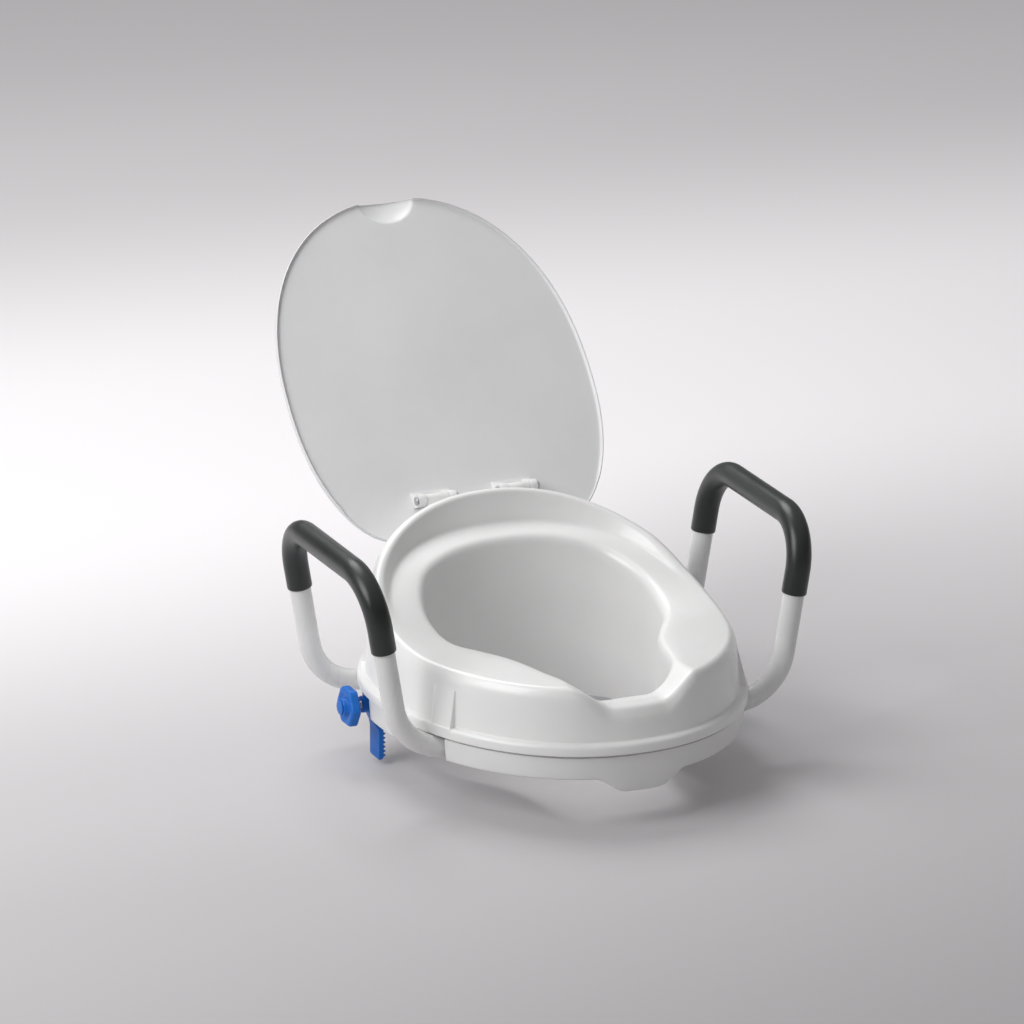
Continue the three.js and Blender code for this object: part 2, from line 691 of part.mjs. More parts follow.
// ---------------------------------------------------------------- assembly
addPiece(group, 'seat_shell', seatShell(), whitePlastic);
addPiece(group, 'base_tray', baseTray(), trayPlastic);
for (const [place, spot] of Object.entries(PADS)) addPiece(group, `rim_pad_${place}`, rimPad(spot), greyRubber);

const lidGroup = new THREE.Group();
lidGroup.position.set(0, LID_FOOT.y, LID_FOOT.z);
lidGroup.rotation.x = LID_TILT;
group.add(lidGroup);
addPiece(lidGroup, 'lid', lidPlate(), lidPlastic);

for (const [hand, side] of [['left', -1], ['right', 1]]) {
  addPiece(lidGroup, `lid_hinge_${hand}`, lidHinge(side), whitePlastic);
  addPiece(group, `hinge_bracket_${hand}`, hingeBracket(side), whitePlastic);
  addPiece(group, `hinge_pin_${hand}`, hingePin(side), steel);
  addPiece(group, `bracket_screw_inner_${hand}`, bracketScrew(side, -side), steel);
  addPiece(group, `bracket_screw_outer_${hand}`, bracketScrew(side, side), steel);

  addPiece(group, `arm_tube_${hand}`, armTube(side), whiteEnamel);
  addPiece(group, `arm_grip_${hand}`, armGrip(side), darkFoam);
  for (const [end, y, span, endX] of [
    ['front', ARM.frontY, SOCKET_ENDS.front, ARM.frontEnd],
    ['rear', ARM.rearY, SOCKET_ENDS.rear, ARM.rearEnd],
  ]) {
    addPiece(group, `tube_plug_${end}_${hand}`, tubePlug(side, endX, y), darkFoam);
    addPiece(group, `arm_socket_${end}_${hand}`, armSocket(side, y, span), trayPlastic);
    const x = (side * (span[0] + span[1])) / 2;
    addPiece(group, `socket_screw_a_${end}_${hand}`, socketScrew(x, y - 20.5), steel);
    addPiece(group, `socket_screw_b_${end}_${hand}`, socketScrew(x, y + 20.5), steel);
  }

  addPiece(group, `clamp_knob_${hand}`, clampKnob(side), bluePlastic);
  addPiece(group, `clamp_rod_${hand}`, clampRod(side), steel);
  addPiece(group, `knob_cap_${hand}`, knobCap(side), bluePlastic);
  addPiece(group, `rod_clip_${hand}`, rodClip(side), steel);
  addPiece(group, `clamp_bearing_${hand}`, clampBearing(side), trayPlastic);
  addPiece(group, `clamp_jaw_${hand}`, clampJaw(side), bluePlastic);
}

export default group;
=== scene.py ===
"""Looks of the raised toilet seat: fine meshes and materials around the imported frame.

Lengths are in millimetres in the shape code and become metres when a mesh is made.
+Z is up, the sitter faces -Y, the lid is at +Y.
"""

import math

import bmesh
import bpy
import numpy as np
from mathutils import Matrix, Vector


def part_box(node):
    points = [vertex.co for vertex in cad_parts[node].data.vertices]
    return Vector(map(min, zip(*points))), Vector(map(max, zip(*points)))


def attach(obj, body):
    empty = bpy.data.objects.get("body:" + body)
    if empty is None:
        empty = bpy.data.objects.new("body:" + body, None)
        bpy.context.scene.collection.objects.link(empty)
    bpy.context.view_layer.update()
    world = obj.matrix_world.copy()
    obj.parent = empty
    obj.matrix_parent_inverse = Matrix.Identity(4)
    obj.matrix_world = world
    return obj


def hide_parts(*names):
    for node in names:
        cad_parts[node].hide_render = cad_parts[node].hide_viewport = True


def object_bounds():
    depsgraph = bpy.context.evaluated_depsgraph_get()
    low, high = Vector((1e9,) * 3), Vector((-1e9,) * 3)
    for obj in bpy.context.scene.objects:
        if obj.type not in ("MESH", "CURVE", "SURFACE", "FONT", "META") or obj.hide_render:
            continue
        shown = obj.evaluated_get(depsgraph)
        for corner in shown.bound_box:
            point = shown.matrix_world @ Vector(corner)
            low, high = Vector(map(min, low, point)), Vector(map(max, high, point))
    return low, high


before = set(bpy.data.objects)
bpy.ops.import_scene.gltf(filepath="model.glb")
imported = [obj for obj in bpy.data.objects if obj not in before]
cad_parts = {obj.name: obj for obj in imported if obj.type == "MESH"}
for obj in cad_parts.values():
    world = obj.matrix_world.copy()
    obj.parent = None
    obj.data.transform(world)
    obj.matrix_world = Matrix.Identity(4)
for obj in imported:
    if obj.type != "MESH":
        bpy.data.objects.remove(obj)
CAD_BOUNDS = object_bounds()
MM = 0.001
SIDES = {"left": -1, "right": 1}

# ---------------------------------------------------------------- driving dimensions
SEAT = {
    "half_width": 190, "centre_y": 15.8, "front": 242, "rear": 179.4, "front_power": 2.1, "rear_power": 2.15,
}
LEDGE_BOTTOM, LEDGE_TOP, LEDGE_WIDTH = 26, 37.2, 8
SEAT_TOP = {"front": 92, "rise": 80, "rise_start": -70, "rise_length": 246, "backrest": 27}
BACK_LIP = {"height": 7, "start": 40, "length": 60}
RECESS = {"depth": 22, "half_width": 70, "blend": 45}
INNER_WALL = {"rear": -32, "front": -12, "blend_start": -60, "blend_length": 98}
BOSS = {
    "bearings": (55.3, 124.5), "half_angle": 4.6, "top": 76, "step": 6.6, "front_edge": 0.6, "rear_edge": 1.8,
}
WALL_DRAFT, CREST_INSET = 5.5, 20
BACKREST = {"top": 27, "foot": 33.5}
# Half of the bowl opening: x, y, and the bearing from straight ahead that the point is joined to.
OPENING = [
    (0, -168, 0),
    (28, -167.5, 7),
    (49, -162.5, 12),
    (60.5, -150, 16),
    (66, -132, 21),
    (71, -105, 29.5),
    (79, -76, 41),
    (94, -47, 54.5),
    (111.5, -18, 70),
    (119, 12, 88),
    (117, 48, 106.5),
    (100, 86, 125),
    (62, 113, 149.5),
    (0, 124, 180),
]
TRAY_FLOOR, TRAY_PLATE, SKIRT_TOP, REGISTER_TOP = 2.5, 4, 23.5, 30
LUG = {"depth": 15, "flat": 18, "foot": 50}
TUBE = {"radius": 10.9, "top_x": 235.5, "bottom_x": 205.4, "top_z": 191, "bottom_z": 12.3}
ARM = {"front_y": -92.5, "rear_y": 125, "top_bend": 49, "bottom_bend": 55, "front_end": 110, "rear_end": 90}
GRIP = {"radius": 12.8, "leg_cover": 73}
SOCKET_ENDS = {"front": (106, 152), "rear": (86, 123)}
TRAY_CUT = {"past_skirt": 200, "bottom": -1}
LID = {"centre": 116.3, "half_width": 168.5, "tip": 220.4, "rear": 200, "tip_power": 2.2, "rear_power": 2.31}
LID_CUT = {"hinges": 16, "middle": 40, "corners": 52, "notch": 23, "corner": 28}
LID_THICKNESS, LID_LIP, LID_LIP_WIDTH = 3.5, 2.4, 1.8
SCOOP = {"half_width": 31, "length": 27, "depth": 8}
LID_FOOT_Y, LID_FOOT_Z, LID_LEAN = 208.7, 165.9, 42
CLAMP_Y, CLAMP_Z, KNOB_INNER, KNOB_OUTER = 52, 12.5, 193.5, 206


# ---------------------------------------------------------------- small helpers
SHARP_ANGLE = math.radians(40)
MERGE_DISTANCE = 1e-6
SHORTEST_LEG = 1e-9
LARGEST_SHARE = 0.48  # of a leg that the rounding of one corner may use up


def smooth_step(value):
    t = np.clip(value, 0, 1)
    return t * t * (3 - 2 * t)


def link(name, data):
    obj = bpy.data.objects.new(name, data)
    bpy.context.scene.collection.objects.link(obj)
    return obj


def make_object(name, mesh, body, slot, nodes):
    """Links a mesh with its slot's material, ties it to its body and hides the CAD nodes it stands for."""
    obj = link(name, mesh)
    mesh.materials.clear()
    mesh.materials.append(MATERIALS[slot])
    mesh.shade_smooth()
    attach(obj, body)
    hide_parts(*nodes)
    return obj


def mesh_from(name, points, faces):
    mesh = bpy.data.meshes.new(name)
    mesh.from_pydata([tuple(p) for p in np.asarray(points) * MM], [], faces)
    shape = bmesh.new()
    shape.from_mesh(mesh)
    bmesh.ops.remove_doubles(shape, verts=shape.verts, dist=MERGE_DISTANCE)
    bmesh.ops.recalc_face_normals(shape, faces=shape.faces)
    shape.to_mesh(mesh)
    shape.free()
    mesh.update()
    return mesh


def ring_faces(stations, points, closed_around=True, closed_section=True):
    """Quads of a loft: stations go around, points run along each section."""
    faces = []
    for i in range(stations if closed_around else stations - 1):
        j = (i + 1) % stations
        for k in range(points if closed_section else points - 1):
            m = (k + 1) % points
            faces.append((i * points + k, j * points + k, j * points + m, i * points + m))
    return faces


def rounded_section(corners, steps=5):
    """Rounds each corner of a closed section. A corner is (inset, height, setback); inset and
    height are numbers or one value per station. Returns insets and heights, points by stations."""
    stations = max(np.size(c[0]) for c in corners)
    flat = [np.stack([np.broadcast_to(c[0], stations), np.broadcast_to(c[1], stations)]) for c in corners]
    result = []
    for i, corner in enumerate(corners):
        here, before, after = flat[i], flat[i - 1], flat[(i + 1) % len(flat)]
        legs = []
        for other in (before, after):
            length = np.maximum(np.hypot(*(other - here)), SHORTEST_LEG)
            legs.append(here + (other - here) * np.minimum(corner[2] / length, LARGEST_SHARE))
        for k in range(steps + 1):
            t = k / steps
            result.append((1 - t) ** 2 * legs[0] + 2 * t * (1 - t) * here + t * t * legs[1])
    stacked = np.array(result)
    return stacked[:, 0], stacked[:, 1]


def cut(obj, cutters):
    """Takes the cutters' volumes out of an object for good."""
    for cutter in cutters:
        modifier = obj.modifiers.new("cut", "BOOLEAN")
        modifier.operation = "DIFFERENCE"
        modifier.solver = "EXACT"
        modifier.object = cutter
    graph = bpy.context.evaluated_depsgraph_get()
    mesh = bpy.data.meshes.new_from_object(obj.evaluated_get(graph))
    obj.modifiers.clear()
    obj.data = mesh
    for cutter in cutters:
        bpy.data.objects.remove(cutter)


# ---------------------------------------------------------------- materials
NOISE_RANGE = (0.3, 0.7)


def new_material(name):
    material = bpy.data.materials.new(name)
    material.use_nodes = True
    nodes = material.node_tree.nodes
    return material, nodes, material.node_tree.links, nodes["Principled BSDF"]


def add_noise(nodes, links, coordinates, scale, detail=3, stretch=None):
    noise = nodes.new("ShaderNodeTexNoise")
    noise.inputs["Scale"].default_value = scale
    noise.inputs["Detail"].default_value = detail
    source = coordinates.outputs["Object"]
    if stretch:
        mapping = nodes.new("ShaderNodeMapping")
        mapping.inputs["Scale"].default_value = stretch
        links.new(source, mapping.inputs["Vector"])
        source = mapping.outputs["Vector"]
    links.new(source, noise.inputs["Vector"])
    return noise


def ranged(nodes, links, noise, low, high):
    remap = nodes.new("ShaderNodeMapRange")
    remap.inputs["From Min"].default_value = NOISE_RANGE[0]
    remap.inputs["From Max"].default_value = NOISE_RANGE[1]
    remap.inputs["To Min"].default_value = low
    remap.inputs["To Max"].default_value = high
    links.new(noise.outputs["Fac"], remap.inputs["Value"])
    return remap.outputs["Result"]


def add_ramp(nodes, stops, interpolation="LINEAR"):
    """A colour ramp. Each stop is (position, colour)."""
    ramp = nodes.new("ShaderNodeValToRGB")
    ramp.color_ramp.interpolation = interpolation
    while len(ramp.color_ramp.elements) < len(stops):
        ramp.color_ramp.elements.new(0.5)
    for element, (position, colour) in zip(ramp.color_ramp.elements, stops):
        element.position = position
        element.color = (*colour, 1)
    return ramp


def tinted(nodes, links, noise, dark, light):
    ramp = add_ramp(nodes, ((NOISE_RANGE[0], dark), (NOISE_RANGE[1], light)))
    links.new(noise.outputs["Fac"], ramp.inputs["Fac"])
    return ramp.outputs["Color"]


def add_bump(nodes, links, shader, noises, distance):
    """Chains bumps, coarse to fine. noises is a list of (noise node, strength)."""
    normal = None
    for noise, strength in noises:
        bump = nodes.new("ShaderNodeBump")
        bump.inputs["Strength"].default_value = strength
        bump.inputs["Distance"].default_value = distance
        links.new(noise.outputs["Fac"], bump.inputs["Height"])
        if normal:
            links.new(normal, bump.inputs["Normal"])
        normal = bump.outputs["Normal"]
    links.new(normal, shader.inputs["Normal"])


def moulded_plastic(name, dark, light, rough, grain, coat=0.0, subsurface=0.0):
    """Moulded plastic: faint cloudiness, uneven gloss and a fine surface grain."""
    material, nodes, links, shader = new_material(name)
    place = nodes.new("ShaderNodeTexCoord")
    cloud = add_noise(nodes, links, place, 9, 4)
    links.new(tinted(nodes, links, cloud, dark, light), shader.inputs["Base Color"])
    smear = add_noise(nodes, links, place, 26, 2)
    links.new(ranged(nodes, links, smear, rough[0], rough[1]), shader.inputs["Roughness"])
    fine = add_noise(nodes, links, place, 300, 1)
    add_bump(nodes, links, shader, [(fine, grain)], 0.0004)
    shader.inputs["Coat Weight"].default_value = coat
    shader.inputs["Coat Roughness"].default_value = 0.08
    shader.inputs["Subsurface Weight"].default_value = subsurface
    shader.inputs["Subsurface Scale"].default_value = 0.004
    shader.inputs["IOR"].default_value = 1.49
    return material


def powder_coat(name):
    """Gloss powder coat on steel tube: orange peel and faint handling marks."""
    material, nodes, links, shader = new_material(name)
    place = nodes.new("ShaderNodeTexCoord")
    tone = add_noise(nodes, links, place, 14, 4)
    base = tinted(nodes, links, tone, (0.74, 0.74, 0.735), (0.79, 0.79, 0.785))
    links.new(base, shader.inputs["Base Color"])
    rub = add_noise(nodes, links, place, 60, 6, (1, 1, 0.2))
    links.new(ranged(nodes, links, rub, 0.2, 0.34), shader.inputs["Roughness"])
    peel = add_noise(nodes, links, place, 520, 1.5)
    add_bump(nodes, links, shader, [(peel, 0.12)], 0.0004)
    shader.inputs["Coat Weight"].default_value = 0.35
    shader.inputs["Coat Roughness"].default_value = 0.12
    return material


def foam_grip(name):
    """Dark closed-cell foam with a skin: tiny cells, soft sheen and slightly worn patches."""
    material, nodes, links, shader = new_material(name)
    place = nodes.new("ShaderNodeTexCoord")
    worn = add_noise(nodes, links, place, 22, 5)
    base = tinted(nodes, links, worn, (0.012, 0.015, 0.0145), (0.021, 0.026, 0.0245))
    links.new(base, shader.inputs["Base Color"])
    links.new(ranged(nodes, links, worn, 0.27, 0.37), shader.inputs["Roughness"])
    cells = nodes.new("ShaderNodeTexVoronoi")
    cells.inputs["Scale"].default_value = 1500
    links.new(place.outputs["Object"], cells.inputs["Vector"])
    lumps = add_noise(nodes, links, place, 45, 2)
    bump = nodes.new("ShaderNodeBump")
    bump.inputs["Strength"].default_value = 0.12
    bump.inputs["Distance"].default_value = 0.001
    links.new(lumps.outputs["Fac"], bump.inputs["Height"])
    skin = nodes.new("ShaderNodeBump")
    skin.inputs["Strength"].default_value = 0.16
    skin.inputs["Distance"].default_value = 0.0003
    links.new(cells.outputs["Distance"], skin.inputs["Height"])
    links.new(bump.outputs["Normal"], skin.inputs["Normal"])
    links.new(skin.outputs["Normal"], shader.inputs["Normal"])
    shader.inputs["Sheen Weight"].default_value = 0.08
    return material


def plated_steel(name):
    """Zinc plating: patchy tone and fine marks across the turning."""
    material, nodes, links, shader = new_material(name)
    place = nodes.new("ShaderNodeTexCoord")
    tone = add_noise(nodes, links, place, 120, 5)
    base = tinted(nodes, links, tone, (0.42, 0.43, 0.45), (0.62, 0.63, 0.65))
    links.new(base, shader.inputs["Base Color"])
    links.new(ranged(nodes, links, tone, 0.24, 0.42), shader.inputs["Roughness"])
    scratches = add_noise(nodes, links, place, 700, 2, (0.05, 1, 1))
    add_bump(nodes, links, shader, [(scratches, 0.15)], 0.0003)
    shader.inputs["Metallic"].default_value = 1
    return material


def grey_rubber(name):
    """Dull rubber with a dusty tone and a fine grain."""
    material, nodes, links, shader = new_material(name)
    place = nodes.new("ShaderNodeTexCoord")
    dust = add_noise(nodes, links, place, 70, 5)
    base = tinted(nodes, links, dust, (0.16, 0.165, 0.17), (0.26, 0.265, 0.27))
    links.new(base, shader.inputs["Base Color"])
    links.new(ranged(nodes, links, dust, 0.62, 0.8), shader.inputs["Roughness"])
    fine = add_noise(nodes, links, place, 1300, 2)
    add_bump(nodes, links, shader, [(fine, 0.25)], 0.0004)
    return material


MATERIALS = {
    "white_plastic": moulded_plastic(
        "white_plastic", (0.82, 0.82, 0.815), (0.86, 0.86, 0.855), (0.28, 0.32), 0.03, 0.1, 0.03
    ),
    "lid_plastic": moulded_plastic(
        "lid_plastic", (0.76, 0.76, 0.765), (0.81, 0.81, 0.815), (0.28, 0.4), 0.06, 0.1, 0.03
    ),
    "tray_plastic": moulded_plastic(
        "tray_plastic", (0.76, 0.76, 0.755), (0.83, 0.83, 0.825), (0.34, 0.46), 0.12
    ),
    "blue_plastic": moulded_plastic(
        "blue_plastic", (0.0, 0.11, 0.50), (0.0, 0.16, 0.62), (0.4, 0.52), 0.1
    ),
    "white_enamel": powder_coat("white_enamel"),
    "dark_foam": foam_grip("dark_foam"),
    "steel": plated_steel("steel"),
    "grey_rubber": grey_rubber("grey_rubber"),
}


# ---------------------------------------------------------------- seat outline
def outline(bearing):
    """Points of the ledge's plan outline at bearings in degrees, 0 straight ahead."""
    angle = np.radians(bearing - 90)
    ahead = np.sin(angle) < 0
    power = np.where(ahead, SEAT["front_power"], SEAT["rear_power"])
    across = np.abs(np.cos(angle)) / SEAT["half_width"]
    along = np.abs(np.sin(angle)) / np.where(ahead, SEAT["front"], SEAT["rear"])
    reach = (across**power + along**power) ** (-1 / power)
    return np.stack([reach * np.cos(angle), SEAT["centre_y"] + reach * np.sin(angle)], axis=1)


def through_knots(knots, values, wanted):
    """Smooth curve through values at knots that repeat every 360 degrees."""
    knots = np.concatenate([np.array(knots[:-1]) - 360, knots, np.array(knots[1:]) + 360])
    values = np.concatenate([values[:-1], values, values[1:]])
    slopes = np.gradient(values, knots)
    cell = np.clip(np.searchsorted(knots, wanted) - 1, 0, len(knots) - 2)
    width = knots[cell + 1] - knots[cell]
    t = (wanted - knots[cell]) / width
    a, b = values[cell], values[cell + 1]
    rise = slopes[cell] * width
    fall = slopes[cell + 1] * width
    start = (2 * t**3 - 3 * t**2 + 1) * a + (t**3 - 2 * t**2 + t) * rise
    return start + (3 * t**2 - 2 * t**3) * b + (t**3 - t**2) * fall


def opening(bearing):
    mirrored = [(-x, y, 360 - b) for x, y, b in reversed(OPENING[:-1])]
    loop = OPENING + mirrored
    knots = [b for _, _, b in loop]
    x = through_knots(knots, np.array([p[0] for p in loop], float), bearing)
    y = through_knots(knots, np.array([p[1] for p in loop], float), bearing)
    return np.stack([x, y], axis=1)


def seat_bearings():
    """Bearings of the stations: fine where the wall changes quickly, mirrored left to right."""
    half = list(np.arange(0, 27, 0.5)) + list(np.arange(27, 180, 1.5))
    for centre in BOSS["bearings"]:
        half += list(np.arange(centre - 6.5, centre + 6.5, 0.25))
    half = sorted(set(np.round(half, 3)) - {0.0})
    return np.array([0.0] + half + [180.0] + [360 - b for b in reversed(half)])


class Stations:
    """The radial lines from the ledge outline to the bowl opening that every section is set on."""

    def __init__(self):
        self.bearing = seat_bearings()
        self.outer = outline(self.bearing)
        across = opening(self.bearing) - self.outer
        self.length = np.hypot(across[:, 0], across[:, 1])
        self.inward = across / self.length[:, None]
        crest = self.outer + self.inward * CREST_INSET
        self.ahead = crest[:, 1] < SEAT["centre_y"]
        rise = np.clip((crest[:, 1] - SEAT_TOP["rise_start"]) / SEAT_TOP["rise_length"], 0, None)
        recess = smooth_step((RECESS["half_width"] - np.abs(crest[:, 0])) / RECESS["blend"]) * self.ahead
        lip = BACK_LIP["height"] * smooth_step((crest[:, 1] - BACK_LIP["start"]) / BACK_LIP["length"])
        self.crest = SEAT_TOP["front"] + SEAT_TOP["rise"] * rise**2 - RECESS["depth"] * recess + lip
        self.backrest = SEAT_TOP["backrest"] * rise**4 + lip
        self.seat = self.crest - self.backrest
        behind = opening(self.bearing)[:, 1] - INNER_WALL["blend_start"]
        towards_front = smooth_step(-behind / INNER_WALL["blend_length"])
        self.wall_bottom = INNER_WALL["rear"] + (INNER_WALL["front"] - INNER_WALL["rear"]) * towards_front

    def boss(self):
        half = np.minimum(self.bearing, 360 - self.bearing)
        amount = np.zeros_like(half)
        for centre in BOSS["bearings"]:
            front_edge = smooth_step((half - centre + BOSS["half_angle"]) / BOSS["front_edge"])
            rear_edge = smooth_step((centre + BOSS["half_angle"] - half) / BOSS["rear_edge"])
            amount = np.maximum(amount, front_edge * rear_edge)
        return amount

    def lug(self):
        reach = np.abs(self.outer[:, 0])
        return LUG["depth"] * smooth_step((LUG["foot"] - reach) / (LUG["foot"] - LUG["flat"])) * self.ahead

    def loft(self, name, corners, steps=5):
        inset, height = rounded_section(corners, steps)
        flat = self.outer[None] + self.inward[None] * inset[:, :, None]
        points = np.concatenate([flat, height[:, :, None]], axis=2).transpose(1, 0, 2)
        count = points.shape[1]
        return mesh_from(name, points.reshape(-1, 3), ring_faces(len(points), count))


STATIONS = Stations()


def seat_shell():
    """The hollow seat: ledge, drafted wall, rounded crest, raised back, sitting surface, inner wall.

    The corners run from the ledge's lower edge over the outside to the foot of the inner wall,
    and back along the inside of the moulding.
    """
    s = STATIONS
    boss = s.boss()
    middle = np.minimum(BOSS["top"], s.crest - 15)
    lean = (middle - LEDGE_TOP) / (s.crest - LEDGE_TOP)
    corners = [
        (0, LEDGE_BOTTOM, 0.9),
        (0, LEDGE_TOP - 0.6, 5),
        (LEDGE_WIDTH - BOSS["step"] * boss, LEDGE_TOP, 1.6),
        (LEDGE_WIDTH + WALL_DRAFT * lean, middle, 3),
        (LEDGE_WIDTH + 5, s.crest - 9, 5),
        (LEDGE_WIDTH + 10.5, s.crest, 8),
        (BACKREST["top"], s.crest, 4.5),
        (BACKREST["foot"], s.seat, 3.2),
        (s.length - 20, s.seat - 1.0, 6),
        (s.length - 1.4, s.seat - 3.4, 13),
        (s.length + 2, s.wall_bottom, 1.2),
        (s.length - 2, s.wall_bottom, 1.2),
        (s.length - 6, s.seat - 20, 6),
        (s.length - 18, s.seat - 9, 6),
        (34, s.seat - 6, 4),
        (18, s.seat - 14, 6),
        (12, LEDGE_TOP - 4, 1),
        (4.2, LEDGE_TOP - 5, 1),
        (4, LEDGE_BOTTOM, 0.6),
    ]
    mesh = s.loft("seat_shell_moulding", corners, 6)
    return make_object("seat_shell_moulding", mesh, "seat", "white_plastic", ["seat_shell"])


def cutter_box(low, high):
    mesh = bpy.data.meshes.new("cutter")
    shape = bmesh.new()
    bmesh.ops.create_cube(shape, size=1)
    low, high = Vector(low) * MM, Vector(high) * MM
    for vertex in shape.verts:
        vertex.co = Vector((low[i] if vertex.co[i] < 0 else high[i]) for i in range(3))
    shape.to_mesh(mesh)
    shape.free()
    return link("cutter", mesh)


def base_tray():
    """Skirt, locating lug and floor, cut for the armrest tubes, their sockets and the clamps."""
    s = STATIONS
    drop = s.lug()
    top = TRAY_FLOOR + TRAY_PLATE
    corners = [
        (5, SKIRT_TOP, 0.3),
        (5, REGISTER_TOP, 0.5),
        (8, REGISTER_TOP, 0.5),
        (8.4, 12, 2),
        (12, top, 2),
        (s.length - 6, top, 0.8),
        (s.length - 6, TRAY_FLOOR, 0.8),
        (12.5, TRAY_FLOOR, 0.8),
        (11.2, -drop, 1.2),
        (5.3, -drop, 2.2),
        (4.2, 12, 3),
        (3.5, SKIRT_TOP, 0.9),
    ]
    mesh = s.loft("base_tray_moulding", corners, 4)
    obj = make_object("base_tray_moulding", mesh, "seat", "tray_plastic", ["base_tray"])
    cut(obj, [box for side in SIDES.values() for box in tray_cutters(side)])
    return obj


def tray_cutters(side):
    """Boxes for each socket's seat in the floor, each tube's way out through the skirt, and the clamp."""
    slots = []
    for end, y in (("front", ARM["front_y"]), ("rear", ARM["rear_y"])):
        inner, outer = SOCKET_ENDS[end]
        slots.append((inner - 0.3, outer + 0.3, y, 16, 9))
        slots.append((outer - 1, TRAY_CUT["past_skirt"], y, 12, 26.4))
    slots.append((150, TRAY_CUT["past_skirt"], CLAMP_Y, 15, SKIRT_TOP))
    boxes = []
    for near, far, y, half_width, top in slots:
        low, high = sorted((side * near, side * far))
        boxes.append(cutter_box((low, y - half_width, TRAY_CUT["bottom"]), (high, y + half_width, top)))
    return boxes


# ---------------------------------------------------------------- armrests
def bent_path(corners, radii, steps=20):
    """Points of straight runs joined by arcs."""
    points = [np.array(corners[0], float)]
    for i in range(1, len(corners) - 1):
        here = np.array(corners[i], float)
        before = here - corners[i - 1]
        after = np.array(corners[i + 1], float) - here
        before = before / np.linalg.norm(before)
        after = after / np.linalg.norm(after)
        turn = math.acos(float(np.dot(before, after)))
        setback = radii[i - 1] * math.tan(turn / 2)
        start = here - before * setback
        across = after - before * float(np.dot(after, before))
        across = across / np.linalg.norm(across)
        centre = start + across * radii[i - 1]
        for k in range(steps + 1):
            angle = turn * k / steps
            arm = before * math.sin(angle) - across * math.cos(angle)
            points.append(centre + arm * radii[i - 1])
    points.append(np.array(corners[-1], float))
    return np.array(points)


def spaced(points, gap):
    """The same path with extra points on its long straight runs."""
    result = [points[0]]
    for a, b in zip(points[:-1], points[1:]):
        count = max(1, int(np.linalg.norm(b - a) / gap))
        result += [a + (b - a) * (k + 1) / count for k in range(count)]
    return np.array(result)


def swept(name, path, radii, around=40):
    """A round bar along a path, with one radius per point and closed ends."""
    tangents = np.gradient(path, axis=0)
    tangents /= np.linalg.norm(tangents, axis=1)[:, None]
    normal = np.cross(tangents[0], (0, 0, 1))
    normal /= np.linalg.norm(normal)
    rings = []
    for point, tangent, radius in zip(path, tangents, radii):
        normal = normal - tangent * np.dot(normal, tangent)
        normal /= np.linalg.norm(normal)
        other = np.cross(tangent, normal)
        angles = np.linspace(0, 2 * math.pi, around, endpoint=False)
        circle = np.outer(np.cos(angles), normal) + np.outer(np.sin(angles), other)
        rings.append(point + radius * circle)
    points = np.array(rings).reshape(-1, 3)
    faces = ring_faces(len(rings), around, closed_around=False)
    faces.append(tuple(range(around)))
    faces.append(tuple(range(len(points) - 1, len(points) - 1 - around, -1)))
    return mesh_from(name, points, faces)


def arm_corners(side):
    front, rear = ARM["front_y"], ARM["rear_y"]
    return [
        (side * ARM["front_end"], front, TUBE["bottom_z"]),
        (side * TUBE["bottom_x"], front, TUBE["bottom_z"]),
        (side * TUBE["top_x"], front, TUBE["top_z"]),
        (side * TUBE["top_x"], rear, TUBE["top_z"]),
        (side * TUBE["bottom_x"], rear, TUBE["bottom_z"]),
        (side * ARM["rear_end"], rear, TUBE["bottom_z"]),
    ]


def arm_tube(hand, side):
    bends = (ARM["bottom_bend"], ARM["top_bend"], ARM["top_bend"], ARM["bottom_bend"])
    path = spaced(bent_path(arm_corners(side), bends), 12)
    name = f"arm_tube_{hand}_bar"
    mesh = swept(name, path, np.full(len(path), TUBE["radius"]))
    return make_object(name, mesh, f"arm_{hand}", "white_enamel", [f"arm_tube_{hand}"])


def arm_grip(hand, side):
    """Foam sleeve with softly rounded, slightly swollen ends."""
    corners = [np.array(c, float) for c in arm_corners(side)]

    def down_leg(top, bottom):
        return top + (bottom - top) / np.linalg.norm(bottom - top) * GRIP["leg_cover"]

    ends = [down_leg(corners[2], corners[1]), corners[2], corners[3], down_leg(corners[3], corners[4])]
    path = spaced(bent_path(ends, (ARM["top_bend"], ARM["top_bend"])), 3)
    steps = np.linalg.norm(np.diff(path, axis=0), axis=1)
    walked = np.concatenate([[0], np.cumsum(steps)])
    edge = np.minimum(walked, walked[-1] - walked)
    rims = [0, 0.25, 0.6, 1.1, 1.8]
    inside = edge > rims[-1] + 0.5
    keep = path[inside]
    first, last = path[0], path[-1]
    lead_in = (path[1] - path[0]) / steps[0]
    lead_out = (path[-2] - path[-1]) / steps[-1]
    head = [first + lead_in * r for r in rims]
    tail = [last + lead_out * r for r in reversed(rims)]
    full = np.array(head + list(keep) + tail)
    rim_radii = [GRIP["radius"] - 1.7 + 1.7 * math.sin(math.acos(1 - r / rims[-1])) for r in rims]
    rim_radii[0] = TUBE["radius"] + 0.05
    radii = np.array(rim_radii + [GRIP["radius"]] * len(keep) + rim_radii[::-1])
    name = f"arm_grip_{hand}_sleeve"
    mesh = swept(name, full, radii, 48)
    return make_object(name, mesh, f"arm_{hand}", "dark_foam", [f"arm_grip_{hand}"])


